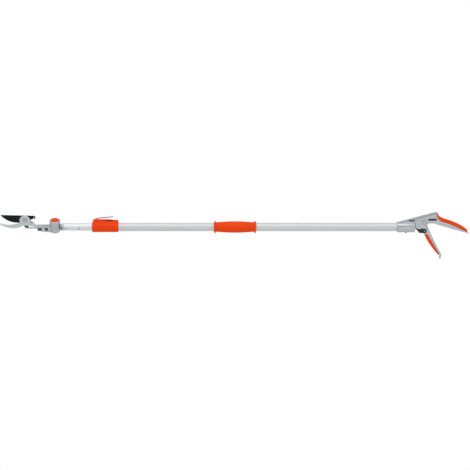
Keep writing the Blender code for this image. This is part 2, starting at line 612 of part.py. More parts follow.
def build_trigger(handle):
    """The trigger lever with its finger pad, its drive pin and the lock catch that swings on it."""
    pivot = (0, PIVOT_Z)
    lobe = circle(DRIVE_PIN, 6.4 * MM, 6, 190, 75)
    hub = circle(pivot, 11 * MM, 14, -40, 230)
    seam = millimetres(bezier((15.0, -33.4), (29.8, -57.8), (44.8, -84.2), (57.2, -104.4), 6))
    front = millimetres([(-1.6, -17.5), (-1.0, -26.6), (10.8, -25.4)]) + seam
    end = [(57.4, -109.5), (55.9, -117.5), (58.2, -120.8), (62.5, -120.3), (64.9, -106.5)]
    rear = bezier((60.3, -96.0), (47.0, -71.5), (36.0, -52.0), (22.4, -19.5), 6)
    lever_outline = hub + lobe + front + millimetres(end + rear)
    fork = [(-16 * MM, -13 * MM), (6.4 * MM, -13 * MM)] + circle(pivot, 10.3 * MM, 10, -52, -128)
    fork.append((-16 * MM, PIVOT_Z))
    holes = [circle(pivot, PIVOT_PIN_R + RUNNING, 20)]
    lever = plate("trigger", [lever_outline] + holes, -TRIGGER_HALF, TRIGGER_HALF, CASTING, handle, pivot)
    cut_plate(lever, fork, -TRIGGER_FORK_HALF, TRIGGER_FORK_HALF, handle)
    cut_round(lever, DRIVE_PIN_R + RUNNING, -20 * MM, 20 * MM, handle, (DRIVE_PIN[0], 0, DRIVE_PIN[1]), "Y", 12)
    cut_round(lever, CATCH_PIN_R + RUNNING, -20 * MM, 20 * MM, handle, (CATCH_PIVOT[0], 0, CATCH_PIVOT[1]), "Y", 12)

    pad = millimetres(bezier((-0.6, -28.0), (13.5, -59.5), (32.5, -83.5), (53.8, -107.5), 6))
    pad += beside(seam, -GAP)[::-1] + millimetres([(10.3, -26.0)])
    plate("trigger_pad", [pad], -TRIGGER_HALF + 0.5 * MM, TRIGGER_HALF - 0.5 * MM, ORANGE, handle, pivot)
    turned("drive_pin", cylinder_profile(DRIVE_PIN_R, -TRIGGER_HALF, TRIGGER_HALF), SPRING_STEEL, handle,
           (DRIVE_PIN[0], 0, DRIVE_PIN[1]), "Y", 12)

    catch_ring = circle(CATCH_PIVOT, 7.4 * MM, 12, -100, 215)
    arm = [(-12.0, -7.4), (-25.0, -7.2), (-29.5, -4.2), (-32.6, -4.4), (-32.2, -9.5), (-27.0, -12.0),
           (-22.5, -19.0), (-17.5, -23.2), (-9.0, -23.6)]
    catch = plate("lock_catch", [catch_ring + millimetres(arm), circle(CATCH_PIVOT, CATCH_PIN_R + RUNNING, 12)],
                  -CATCH_HALF, CATCH_HALF, BLACK, handle, CATCH_PIVOT)
    throat = millimetres([(-16.5, -30), (12, -30), (12, 5), (-40, 5), (-40, -8.2), (-16.5, -8.2)])
    cut_plate(catch, throat, -TRIGGER_HALF - GAP, TRIGGER_HALF + GAP, handle)
    turned("catch_pin", cylinder_profile(CATCH_PIN_R, -CATCH_HALF, CATCH_HALF), SPRING_STEEL, handle,
           (CATCH_PIVOT[0], 0, CATCH_PIVOT[1]), "Y", 12)


# ---------------------------------------------------------------- head

def build_head_socket(head):
    """The fork on the end of the inner tube, with the round barrel that holds the angle button."""
    socket = turned("head_socket",
                    stepped_profile([(INNER_BORE_R - RUNNING, SOCKET_REAR, SOCKET_REAR + PLUG_LENGTH),
                                     (INNER_R, SOCKET_FRONT, SOCKET_REAR)]), CASTING, head, steps=TUBE_STEPS)
    low = EYE_LOW - GAP
    high = EYE_HIGH + GAP
    add_plate(socket, box_outline(0, high, SOCKET_FRONT + 3 * MM, high + 3.3 * MM), -3 * MM, 3 * MM, head)
    add_plate(socket, box_outline(0, -12.6 * MM, SOCKET_FRONT + 3 * MM, low), -5 * MM, 5 * MM, head)
    edge = 1.5 * MM
    add_round(socket, [(0, BARREL_TOP), (BARREL_R - edge, BARREL_TOP), (BARREL_R, BARREL_TOP - edge),
                       (BARREL_R, high), (0, high)], head, axis="Z")
    add_round(socket, [(0, low), (LOWER_DISC_R, low), (LOWER_DISC_R, LOWER_DISC_LOW + edge),
                       (LOWER_DISC_R - edge, LOWER_DISC_LOW), (0, LOWER_DISC_LOW)], head, axis="Z")
    cut_round(socket, BUTTON_R + GAP, BARREL_FLOOR, BARREL_TOP + 5 * MM, head, axis="Z", steps=32)
    cut_round(socket, TILT_PIN_R + RUNNING, -30 * MM, BARREL_FLOOR + 2 * MM, head, axis="Z", steps=16)
    cut_round(socket, FRONT_ROD_R + 2 * GAP, SOCKET_FRONT - 1 * MM, SOCKET_REAR + PLUG_LENGTH + 1 * MM, head)
    cut_round(socket, RIVET_R + RUNNING, RIVET_FOOT - 1 * MM, INNER_R, head, (RIVET_A, 0, 0), "-Y", 12)

    turned("angle_button", [(0, BUTTON_TOP), (BUTTON_R - 4 * MM, BUTTON_TOP - 0.3 * MM),
                            (BUTTON_R, BUTTON_TOP - 1.6 * MM), (BUTTON_R, BUTTON_LOW), (0, BUTTON_LOW)],
           ORANGE, head, axis="Z", steps=32)
    shoulder = BARREL_FLOOR + GAP
    turned("tilt_stud", stepped_profile([(7 * MM, shoulder, shoulder + 1.4 * MM),
                                         (TILT_PIN_R, CHANNEL_HALF + GAP, shoulder)]),
           SPRING_STEEL, head, axis="Z", steps=16)
    coil("button_spring", 5.5 * MM, SPRING_WIRE_R, shoulder + 1.4 * MM + GAP, BUTTON_LOW - GAP, 3,
         SPRING_STEEL, head, (0, 0, 0), "Z")
    turned("tilt_bolt", stepped_profile([(TILT_PIN_R, LOWER_DISC_LOW - GAP, -CHANNEL_HALF - GAP),
                                         (7 * MM, LOWER_DISC_LOW - 2.4 * MM, LOWER_DISC_LOW - GAP)]),
           SPRING_STEEL, head, axis="Z", steps=16)


def build_head_body(head):
    """The cast body that swings on the tilt axis and carries the hook and the blade."""
    side = millimetres([(-69, -8.5), (-66, -11.1), (-44, -15.6), (-17, -18.7), (-8, -18.7), (-8, 5.3),
                        (-67, 5.3), (-69, 3.5)])
    body = plate("head_body", [side], -HEAD_HALF, HEAD_HALF, CASTING, head)
    add_round(body, cylinder_profile(EYE_R, EYE_LOW, EYE_HIGH), head, axis="Z")
    cut_round(body, LOWER_DISC_R + GAP, -30 * MM, EYE_LOW, head, axis="Z", steps=32)
    cut_round(body, TILT_PIN_R + RUNNING, -10 * MM, 10 * MM, head, axis="Z", steps=16)
    hook_slot = millimetres([(-75, -25), (-39.5, -25), (-39.5, 12), (-75, 12)])
    cut_plate(body, hook_slot, HOOK_LOW - GAP, HOOK_HIGH + GAP, head)
    cut_round(body, PULL_BORE_R, -75 * MM, -21 * MM, head, (0, PULL_Y, PULL_Z), "X", 16)
    cut_plate(body, millimetres(box_outline(-33, -10.3, -15.5, 2.2)), -2 * MM, 8 * MM, head)
    cut_plate(body, millimetres(box_outline(-17, -6, -6, 0)), -2 * MM, 6.5 * MM, head)
    cut_plate(body, box_outline(-16.5 * MM, -CHANNEL_HALF, 25 * MM, CHANNEL_HALF), -5.5 * MM, 5.5 * MM, head)
    for low_x, high_x in ((-65.3, -51.5), (-38.4, -27.3)):
        window = fillet(millimetres(box_outline(low_x, -10.6, high_x, 1.4)), 1.5 * MM, 2)
        cut_plate(body, window, -HEAD_HALF - 1 * MM, HOOK_LOW - 1.3 * MM, head)
    cut_round(body, RIVET_R + RUNNING, -20 * MM, 20 * MM, head, (HOOK_RIVET[0], 0, HOOK_RIVET[1]), "Y", 12)
    turned("hook_rivet", stepped_profile([(3.6 * MM, HEAD_HALF + GAP, HEAD_HALF + 1.4 * MM),
                                          (RIVET_R, -HEAD_HALF, HEAD_HALF + GAP)]),
           SPRING_STEEL, head, (HOOK_RIVET[0], 0, HOOK_RIVET[1]), "-Y", 14)


def build_jaws(head):
    """The fixed hook, the blade, the bolt that they turn on and the link that pulls the blade."""
    x, z = BLADE_PIVOT
    beak_top = bezier((-211.0, 18.0), (-190.0, 6.5), (-160.0, 9.0), (-133.0, 17.8), 9)
    beak_low = bezier((-121.5, 8.8), (-140.0, -7.0), (-180.0, -9.0), (-211.9, 14.0), 10)
    disc = circle(BLADE_PIVOT, 20.5 * MM, 20, 212, -204)
    arm = [(-83.7, 24.0), (-72.2, 10.7), (-67.5, 5.0), (-40.5, 5.0), (-40.5, -8.0), (-64.5, -8.0),
           (-70.5, 1.0), (-96.0, 6.9)]
    outline = millimetres(beak_top) + disc + millimetres(arm) + millimetres(beak_low)
    holes = [circle(BLADE_PIVOT, BOLT_R + RUNNING, 16), circle(STOP_SCREW, RIVET_R + RUNNING, 12),
             circle(HOOK_RIVET, RIVET_R + RUNNING, 12)]
    plate("hook_plate", [outline] + holes, HOOK_LOW, HOOK_HIGH, PLATE_STEEL, head)

    edge = bezier((-207.5, 51.4), (-193.0, 32.0), (-168.0, 17.0), (-137.8, 18.6), 9)
    heel = [(-127.5, 17.6), (-122.4, 12.5), (-118.6, 4.0)]
    foot = circle(LINK_PIN, 5.2 * MM, 8, 190, 170)
    neck = [(-99.8, 9.5), (-97.6, 21.0), (-97.2, 29.4), (-93.7, 31.4), (-85.5, 35.4)]
    tang_centre = (-80.3 * MM, 41.6 * MM)
    tang = circle(tang_centre, 6.6 * MM, 8, -60, 150)
    outline = millimetres(edge + heel) + foot + millimetres(neck) + tang
    holes = [circle(BLADE_PIVOT, BOLT_R + RUNNING, 16), circle(tang_centre, 2.3 * MM, 12),
             circle(LINK_PIN, LINK_PIN_R + RUNNING, 12)]
    plate("blade", [outline] + holes, BLADE_LOW, BLADE_HIGH, BLADE_STEEL, head, BLADE_PIVOT)

    turned("pivot_bolt", stepped_profile([(8.5 * MM, BLADE_HIGH + GAP, BLADE_HIGH + 3.2 * MM),
                                          (BOLT_R, HOOK_LOW - 7 * MM, BLADE_HIGH + GAP)]),
           SPRING_STEEL, head, (x, 0, z), "Y", 20)
    washer_high = HOOK_LOW - GAP
    turned("pivot_washer", ring_profile(10.8 * MM, BOLT_R + RUNNING, washer_high - 1.3 * MM, washer_high),
           PLATE_STEEL, head, (x, 0, z), "Y", 24, ring=True)
    nut_high = washer_high - 1.3 * MM - GAP
    nut = [circle(BLADE_PIVOT, 7.5 * MM, 6), circle(BLADE_PIVOT, BOLT_R + RUNNING, 16)]
    plate("pivot_nut", nut, nut_high - 4.2 * MM, nut_high, SPRING_STEEL, head, BLADE_PIVOT)
    turned("stop_screw", stepped_profile([(4.6 * MM, -HOOK_LOW + GAP, -HOOK_LOW + 2.2 * MM),
                                          (RIVET_R, GAP, -HOOK_LOW + GAP)]),
           SPRING_STEEL, head, (STOP_SCREW[0], 0, STOP_SCREW[1]), "-Y", 14)
    build_link(head)


def build_link(head):
    """The pull link and the blade's pin, which rides in the link's upright slot."""
    pin_x, pin_z = LINK_PIN
    play = LINK_PIN_R + LINK_PLAY
    wrap = 3.6 * MM
    outside = circle((pin_x, pin_z - LINK_PLAY), play + wrap, 8, 180, 90)
    outside += [(pin_x + play + wrap, PULL_Z - 3.2 * MM), (-66 * MM, PULL_Z - 3.2 * MM),
                (-66 * MM, PULL_Z + 3.2 * MM), (pin_x + play + wrap + 2 * MM, PULL_Z + 3.2 * MM)]
    outside += circle((pin_x, pin_z + PIN_RISE), play + wrap, 8, 0, 180)
    slot = circle((pin_x, pin_z - LINK_PLAY), play, 8, 180, 180)
    slot += circle((pin_x, pin_z + PIN_RISE + LINK_PLAY), play, 8, 0, 180)
    link = plate("pull_link", [outside, slot], LINK_LOW, LINK_HIGH, PLATE_STEEL, head)
    add_round(link, cylinder_profile(PULL_ROD_R, -70 * MM, LINK_END), head, (0, PULL_Y, PULL_Z), "X", 14)
    turned("link_pin", stepped_profile([(LINK_PIN_R, -BLADE_LOW, LINK_HIGH + 0.8 * MM),
                                        (2.9 * MM, -1.6 * MM, -BLADE_LOW)]),
           SPRING_STEEL, head, (pin_x, 0, pin_z), "Y", 14)

    curve = bpy.data.curves.new("drive_cable", "CURVE")
    curve.dimensions = "3D"
    curve.bevel_depth = 1.2 * MM
    curve.bevel_resolution = 2
    curve.use_fill_caps = True
    route = [(LINK_END + GAP, PULL_Y, PULL_Z), (LINK_END + 2 * MM, PULL_Y, PULL_Z),
             (-17.5 * MM, PULL_Y * 0.6, PULL_Z * 0.05), (-11 * MM, PULL_Y * 0.3, 0), (-4 * MM, 0, 0),
             (ROD_TIP - GAP, 0, 0)]
    spline = curve.splines.new("POLY")
    spline.points.add(len(route) - 1)
    for point, place in zip(spline.points, route):
        point.co = (*place, 1)
    own(bpy.data.objects.new("drive_cable", curve), "drive_cable", SPRING_STEEL, head)


def main():
    handle = frame("handle_frame", (HANDLE_X, 0, 0))
    head = frame("head_frame", (TILT_X, 0, 0), HEAD_ROLL)
    build_pole()
    build_inner_pole(head)
    build_clamp()
    build_drive(handle, head)
    build_handle(handle)
    build_handle_fittings(handle)
    build_trigger(handle)
    build_head_socket(head)
    build_head_body(head)
    build_jaws(head)
    for obj in PARTS.objects:
        if obj.type == "MESH":
            obj.data.shade_smooth()
            obj.data.set_sharp_from_angle(angle=math.radians(35))


main()
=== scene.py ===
"""Finishes and stage for a telescoping long-reach pruner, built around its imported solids.

Each operator makes one group of pieces: it copies a solid and rounds its edges, or models a finer piece in
its place, gives it a procedural finish and lets it ride on the body that carries it.
"""
import json
import math

import bmesh
import bpy
import numpy as np
from mathutils import Matrix, Vector


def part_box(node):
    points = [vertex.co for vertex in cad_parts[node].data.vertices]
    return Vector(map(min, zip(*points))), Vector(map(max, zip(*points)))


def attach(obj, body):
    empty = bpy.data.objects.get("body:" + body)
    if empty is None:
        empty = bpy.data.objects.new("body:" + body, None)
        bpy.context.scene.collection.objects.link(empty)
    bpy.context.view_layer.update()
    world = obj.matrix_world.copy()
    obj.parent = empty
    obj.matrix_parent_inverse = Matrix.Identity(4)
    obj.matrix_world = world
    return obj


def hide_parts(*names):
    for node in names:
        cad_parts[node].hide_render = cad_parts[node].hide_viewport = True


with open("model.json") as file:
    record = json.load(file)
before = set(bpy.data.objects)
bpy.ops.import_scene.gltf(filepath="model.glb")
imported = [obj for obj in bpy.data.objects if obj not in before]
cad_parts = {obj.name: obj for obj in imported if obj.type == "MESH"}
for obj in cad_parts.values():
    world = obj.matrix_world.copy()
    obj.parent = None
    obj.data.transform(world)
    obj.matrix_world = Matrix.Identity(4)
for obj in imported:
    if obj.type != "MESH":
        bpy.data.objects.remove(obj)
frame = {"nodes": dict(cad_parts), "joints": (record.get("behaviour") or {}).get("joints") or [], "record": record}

bl_info = {
    "name": "Long-Reach Pruner",
    "version": (1, 0, 0),
    "blender": (4, 5, 0),
    "location": "3D View > Sidebar > Pruner",
    "description": "Builds the finished pieces, materials and stage of a telescoping pruner",
    "category": "Object",
}

MM = 0.001
SIDES = (("near", -1), ("far", 1))
# The frame has materials of its own named after the slots, so a finish's name has a prefix.
FINISH = "finish_"
# A mix node's two colour inputs and its colour output.
MIX_FIRST, MIX_SECOND, MIX_RESULT = 6, 7, 2

# A copied mesh is merged within a distance, and its faces within an angle of flat are joined.
MERGE_DISTANCE = 0.004 * MM
FLAT_ANGLE = 0.6
# Edges that turn more than the sharp angle are rounded; surfaces look smooth up to the smooth angle.
SHARP_ANGLE = 34.0
SMOOTH_ANGLE = 32.0
SOFT_ANGLE = 50.0
# The dark plates painted as shade in recesses look smooth up to this angle.
SHADE_PLATE_SMOOTH_ANGLE = 30.0
TURNED_SMOOTH_ANGLE = 40.0
# A rounding takes a share of the room to the nearest corner that lies beside the edge. Beside means past the
# edge's end by less than a share of the corner's distance. An edge with nothing beside it has open room.
ROOM_SHARE = 0.42
BESIDE_SHARE = 0.7
OPEN_WIDTHS = 4
# Edges that turn more than the knife angle, and all that meet them, keep this share of their rounding.
KNIFE_ANGLE = 125.0
KNIFE_SHARE = 0.12

# The hand grip, in millimetres: the radius of its bore, of its ends and of its middle, the width of an end's
# flange, from the flange to the nearest groove, half a groove's width, and the lip round the bore.
GRIP_BORE, GRIP_WAIST, GRIP_CROWN = 16.3, 18.3, 22.0
GRIP_FLANGE, GRIP_BAND, GRIP_GROOVE, GRIP_LIP = 6.5, 12.0, 0.8, 0.6
GRIP_STEPS = 7
# Fillet in front of the flange: distance before it and radius. Crown of the flange: share of its width and
# drop from its largest radius.
GRIP_FILLET = ((1.2, 18.5), (0.3, 19.2))
GRIP_FLANGE_CROWN = ((0.0, 3.6), (0.12, 1.9), (0.28, 0.6), (0.45, 0.0), (0.62, 0.2), (0.8, 1.3), (0.93, 2.9),
                     (1.0, 4.6))
# Recesses of the clamp housing: two corners, each as (x behind the housing's front end, z), and the inner and
# outer distance from the middle of the dark plate painted in each as shade, in millimetres.
CLAMP_RECESS = ((49.6, 23.0), (78.4, 26.3), (10.85, 11.2))
# Grooves of the handle casting: start and end as (x from the trigger's pivot, z), height, and the inner and
# outer distance from the middle, in millimetres.
HANDLE_GROOVES = (((-99.5, 2.4), (-41.0, 2.4), 2.6, 19.2, 21.2),
                  ((-96.0, 18.7), (40.0, 55.0), 1.5, 14.3, 17.0),
                  ((-68.0, 20.7), (37.0, 48.0), 1.4, 12.9, 14.1))
# Slots of the handle casting: place, the distance from the middle of the dark plate painted in each as shade, and
# two corners, each as (x from the trigger's pivot, z), with that plate's thickness, in millimetres.
HANDLE_SLOTS = (("front", 11.95, (-58.8, 20.8), (-37.7, 26.2)),
                ("rear", 9.05, (15.7, 23.8), (46.8, 31.7)))
HANDLE_SHADE_PLATE = 0.3
# Windows of the cutting head, each with a dark plate painted in it as shade: place, and low and high x from the
# tilt's axis, with the y and z of both, in millimetres.
HEAD_WINDOWS = (("front", -65.1, -51.7), ("rear", -38.2, -27.5))
HEAD_WINDOW_Y = (-6.0, -5.7)
HEAD_WINDOW_Z = (-10.4, 1.2)

# The stage, in metres, and the camera's sensor in millimetres.
FLOOR_SIZE = 12
KEY_PLACE = (-0.3, -0.9, 1.5)
FILL_PLACE = (0.2, -2.4, -0.5)
SENSOR_WIDTH = 36.0

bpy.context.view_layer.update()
BODY_OF = {node: body for body, nodes in frame["record"]["behaviour"]["bodies"].items() for node in nodes}
SLOT_OF = {part["node"]: part["material_slot"] for part in frame["record"]["subparts"]}
JOINTS = {joint["name"]: joint for joint in frame["joints"]}
ALONG = Vector((1, 0, 0))
TILT_AXIS = Vector(JOINTS["head_tilt"]["axis"]).normalized()
TILT_CENTRE = Vector(JOINTS["head_tilt"]["pos_m"])
TRIGGER_CENTRE = Vector(JOINTS["trigger_pivot"]["pos_m"])
HEAD_ROLL = math.atan2(-TILT_AXIS.y, TILT_AXIS.z)
IN_HEAD = Matrix.Translation(TILT_CENTRE) @ Matrix.Rotation(HEAD_ROLL, 4, "X")


# ---------------------------------------------------------------- settings

def colour_setting(name, description, value):
    return bpy.props.FloatVectorProperty(name=name, description=description, subtype="COLOR", size=3,
                                         min=0.0, max=1.0, default=value)


def length_setting(name, description, value):
    return bpy.props.FloatProperty(name=name, description=description, subtype="DISTANCE", unit="LENGTH",
                                   min=0.0, default=value)


class PrunerColours(bpy.types.PropertyGroup):
    """Colours of the pruner's finishes."""
    orange: colour_setting("Orange", "Plastic of the clamp and the angle button", (0.97, 0.061, 0.004))
    orange_soft: colour_setting("Soft orange", "Rubber of the grips and the pads", (0.97, 0.072, 0.005))
    tube: colour_setting("Outer tube", "Satin anodised aluminium", (0.72, 0.745, 0.74))
    bright_tube: colour_setting("Inner tube", "Bright anodised aluminium", (0.84, 0.865, 0.87))
    casting: colour_setting("Casting", "Die-cast aluminium of the handle and the head", (0.62, 0.65, 0.68))
    plate: colour_setting("Hook steel", "Satin plated steel of the hook and the link", (0.70, 0.75, 0.77))
    lever: colour_setting("Lever steel", "Dark plated steel of the clamp lever", (0.17, 0.13, 0.105))
    bright: colour_setting("Bright steel", "Zinc-plated screws, pins and springs", (0.64, 0.66, 0.68))
    blade: colour_setting("Blade", "Black non-stick coating", (0.010, 0.011, 0.014))
    # The black plastic also colours the dark plates painted as shade in the clamp's recesses.
    black: colour_setting("Black plastic", "Moulded lock catch", (0.012, 0.013, 0.014))
    # The nylon also colours the dark plates painted as shade in the handle's slots and the head's windows; these
    # are the linings of the slots.
    nylon: colour_setting("Nylon", "Guides in the pole and linings of the slots", (0.10, 0.10, 0.105))


class PrunerSizes(bpy.types.PropertyGroup):
    """Sizes of the details added to the solids."""
    round_fine: length_setting("Fine rounding", "Edge radius of pressed and turned metal", 0.25 * MM)
    round_cast: length_setting("Cast rounding", "Edge radius of the castings", 0.6 * MM)
    round_moulded: length_setting("Moulded rounding", "Edge radius of the clamp housing", 2.4 * MM)
    round_button: length_setting("Button rounding", "Edge radius of the angle button", 1.2 * MM)
    round_pad: length_setting("Pad rounding", "Edge radius of the rubber pads", 2.6 * MM)
    tube_wall: length_setting("Tube wall", "Wall of both tubes", 1.5 * MM)
    tube_sides: bpy.props.IntProperty(name="Tube sides", description="Facets around a tube",
                                      default=96, min=24)
    rib_count: bpy.props.IntProperty(name="Grip ribs", description="Grooves at each end of the grip",
                                     default=6, min=1)
    rib_pitch: length_setting("Rib pitch", "Distance between the grip's grooves", 5.2 * MM)
    rib_depth: length_setting("Rib depth", "Depth of the grip's grooves", 0.5 * MM)


class PrunerStage(bpy.types.PropertyGroup):
    """Camera, lights and floor."""
    lens: bpy.props.FloatProperty(name="Focal length", description="Camera lens in millimetres",
                                  default=300.0)
    view_width: length_setting("View width", "Width of the picture at the pole", 1.804)
    view_height: bpy.props.FloatProperty(name="View height", default=-0.0307, subtype="DISTANCE",
                                         unit="LENGTH", description="Height of the camera above the pole")
    floor_height: bpy.props.FloatProperty(name="Floor height", description="Height of the floor",
                                          subtype="DISTANCE", unit="LENGTH", default=-1.0)
    key: bpy.props.FloatProperty(name="Key light", description="Power of the large soft light above",
                                 subtype="POWER", unit="POWER", default=6.0)
    fill: bpy.props.FloatProperty(name="Fill light", description="Power of the soft light in front",
                                  subtype="POWER", unit="POWER", default=2.2)


# ---------------------------------------------------------------- shader groups

def new_group(name, inputs, outputs):
    """A shader node group with these float or vector sockets, and its input and output nodes."""
    group = bpy.data.node_groups.new(name, "ShaderNodeTree")
    for label, kind, value in inputs:
        socket = group.interface.new_socket(label, in_out="INPUT", socket_type=kind)
        if value is not None:
            socket.default_value = value
    for label, kind in outputs:
        group.interface.new_socket(label, in_out="OUTPUT", socket_type=kind)
    return group, group.nodes.new("NodeGroupInput"), group.nodes.new("NodeGroupOutput")


def put(tree, kind, inputs=(), **settings):
    """A node with these settings. An input's value is a number, a colour or an output to link."""
    node = tree.nodes.new(kind)
    for key, value in settings.items():
        setattr(node, key, value)
    for key, value in dict(inputs).items():
        if isinstance(value, bpy.types.NodeSocket):
            tree.links.new(value, node.inputs[key])
        else:
            node.inputs[key].default_value = value
    return node


def surface_grain_group():
    """Fine and coarse variation over a surface, stretched as its vector input is."""
    group, given, result = new_group("surface_grain", [("Vector", "NodeSocketVector", None),
                                                       ("Fine Scale", "NodeSocketFloat", 900.0),
                                                       ("Coarse Scale", "NodeSocketFloat", 30.0)],
                                     [("Fine", "NodeSocketFloat"), ("Coarse", "NodeSocketFloat")])
    for label, detail in (("Fine", 3.0), ("Coarse", 4.0)):
        scale = given.outputs[label + " Scale"]
        noise = put(group, "ShaderNodeTexNoise", {"Vector": given.outputs["Vector"], "Scale": scale,
                                                  "Detail": detail})
        group.links.new(noise.outputs["Fac"], result.inputs[label])
    return group


def edge_wear_group():
    """A mask of rubbed edges: where the surface turns within a radius, broken up by noise."""
    group, given, result = new_group("edge_wear", [("Vector", "NodeSocketVector", None),
                                                   ("Radius", "NodeSocketFloat", 0.0008),
                                                   ("Amount", "NodeSocketFloat", 1.0),
                                                   ("Patch Scale", "NodeSocketFloat", 120.0)],
                                     [("Mask", "NodeSocketFloat")])
    softened = put(group, "ShaderNodeBevel", {"Radius": given.outputs["Radius"]}, samples=4)
    flat = put(group, "ShaderNodeNewGeometry")
    likeness = put(group, "ShaderNodeVectorMath", {0: softened.outputs["Normal"], 1: flat.outputs["Normal"]},
                   operation="DOT_PRODUCT")
    turn = put(group, "ShaderNodeMapRange", {"Value": likeness.outputs["Value"], "From Min": 0.995,
                                             "From Max": 0.90, "To Min": 0.0, "To Max": 1.0})
    patches = put(group, "ShaderNodeTexNoise", {"Vector": given.outputs["Vector"],
                                                "Scale": given.outputs["Patch Scale"], "Detail": 5.0})
    broken = put(group, "ShaderNodeMapRange", {"Value": patches.outputs["Fac"], "From Min": 0.38,
                                               "From Max": 0.62})
    mask = put(group, "ShaderNodeMath", {0: turn.outputs["Result"], 1: broken.outputs["Result"]},
               operation="MULTIPLY")
    scaled = put(group, "ShaderNodeMath", {0: mask.outputs["Value"], 1: given.outputs["Amount"]},
                 operation="MULTIPLY", use_clamp=True)
    group.links.new(scaled.outputs["Value"], result.inputs["Mask"])
    return group


def crevice_shade_group():
    """A mask of corners and recesses, where painted shade darkens the colour."""
    group, given, result = new_group("crevice_grime", [("Distance", "NodeSocketFloat", 0.006),
                                                       ("Amount", "NodeSocketFloat", 1.0)],
                                     [("Mask", "NodeSocketFloat")])
    open_sky = put(group, "ShaderNodeAmbientOcclusion", {"Distance": given.outputs["Distance"]}, samples=6)
    closed = put(group, "ShaderNodeMapRange", {"Value": open_sky.outputs["AO"], "From Min": 0.85,
                                               "From Max": 0.25})
    scaled = put(group, "ShaderNodeMath", {0: closed.outputs["Result"], 1: given.outputs["Amount"]},
                 operation="MULTIPLY", use_clamp=True)
    group.links.new(scaled.outputs["Value"], result.inputs["Mask"])
    return group


def groups():
    """The three groups, made once."""
    if "surface_grain" not in bpy.data.node_groups:
        surface_grain_group()
        edge_wear_group()
        crevice_shade_group()
    return [bpy.data.node_groups[name] for name in ("surface_grain", "edge_wear", "crevice_grime")]


def darker(colour, share):
    return [channel * share for channel in colour[:3]]


def finish(name, colour, shade, metallic, rough, spread, stretch=(1, 1, 1), fine=900.0, coarse=30.0,
           bump=0.2, depth=0.00008, worn=None, wear=0.5, wear_radius=0.0008, grime=0.5, shade_reach=0.006,
           pits=0.0, shine=0.5):
    """A material whose colour, roughness and bump vary with the grain, with rubbed edges and painted shade in its
    corners.

    The shade darkens the clouds in its colour, and the spread is how far its roughness varies. The depth,
    wear_radius and shade_reach are in metres. Worn is its edges' colour, grime how strongly painted shade darkens
    its corners and recesses, and pits the scale of its cells.
    """
    grain_group, wear_group, shade_group = groups()
    made = bpy.data.materials.new(FINISH + name)
    made.use_nodes = True
    tree = made.node_tree
    shader = tree.nodes["Principled BSDF"]
    place = put(tree, "ShaderNodeTexCoord").outputs["Object"]
    stretched = put(tree, "ShaderNodeMapping", {"Vector": place, "Scale": stretch}).outputs["Vector"]

    grain = put(tree, "ShaderNodeGroup", node_tree=grain_group)
    tree.links.new(stretched, grain.inputs["Vector"])
    grain.inputs["Fine Scale"].default_value = fine
    grain.inputs["Coarse Scale"].default_value = coarse
    edge = put(tree, "ShaderNodeGroup", node_tree=wear_group)
    tree.links.new(place, edge.inputs["Vector"])
    edge.inputs["Radius"].default_value = wear_radius
    edge.inputs["Amount"].default_value = wear
    # Painted shade: this mask darkens corners and recesses, standing for the shade that falls there.
    corner = put(tree, "ShaderNodeGroup", node_tree=shade_group)
    corner.inputs["Distance"].default_value = shade_reach
    corner.inputs["Amount"].default_value = grime

    def blend(factor, first, second):
        mix = put(tree, "ShaderNodeMix", data_type="RGBA")
        tree.links.new(factor, mix.inputs["Factor"])
        for socket, value in ((mix.inputs[MIX_FIRST], first), (mix.inputs[MIX_SECOND], second)):
            if isinstance(value, bpy.types.NodeSocket):
                tree.links.new(value, socket)
            else:
                socket.default_value = (*value, 1)
        return mix.outputs[MIX_RESULT]

    cloud = put(tree, "ShaderNodeMapRange", {"Value": grain.outputs["Coarse"], "From Min": 0.3,
                                             "From Max": 0.7})
    tone = blend(cloud.outputs["Result"], list(colour[:3]), darker(colour, shade))
    speck = put(tree, "ShaderNodeMapRange", {"Value": grain.outputs["Fine"], "From Min": 0.35,
                                             "From Max": 0.75, "To Max": 0.35})
    tone = blend(speck.outputs["Result"], tone, darker(colour, shade * shade))
    tone = blend(edge.outputs["Mask"], tone, worn or [min(1.0, c * 1.25 + 0.03) for c in colour[:3]])
    # Painted shade: corners and recesses are darkened in the colour itself.
    tone = blend(corner.outputs["Mask"], tone, darker(colour, 0.12))
    tree.links.new(tone, shader.inputs["Base Color"])

    gloss = put(tree, "ShaderNodeMapRange", {"Value": grain.outputs["Fine"], "From Min": 0.25,
                                             "From Max": 0.75, "To Min": rough - spread,
                                             "To Max": rough + spread})
    dull = put(tree, "ShaderNodeMath", {0: corner.outputs["Mask"], 1: 0.3}, operation="MULTIPLY_ADD")
    tree.links.new(gloss.outputs["Result"], dull.inputs[2])
    tree.links.new(dull.outputs["Value"], shader.inputs["Roughness"])

    height = grain.outputs["Fine"]
    if pits:
        cells = put(tree, "ShaderNodeTexVoronoi", {"Vector": place, "Scale": pits}).outputs["Distance"]
        joined = put(tree, "ShaderNodeMath", {0: cells, 1: 0.8, 2: height}, operation="MULTIPLY_ADD")
        height = joined.outputs["Value"]
    relief = put(tree, "ShaderNodeBump", {"Strength": bump, "Distance": depth, "Height": height})
    tree.links.new(relief.outputs["Normal"], shader.inputs["Normal"])
    shader.inputs["Metallic"].default_value = metallic
    shader.inputs["Specular IOR Level"].default_value = shine


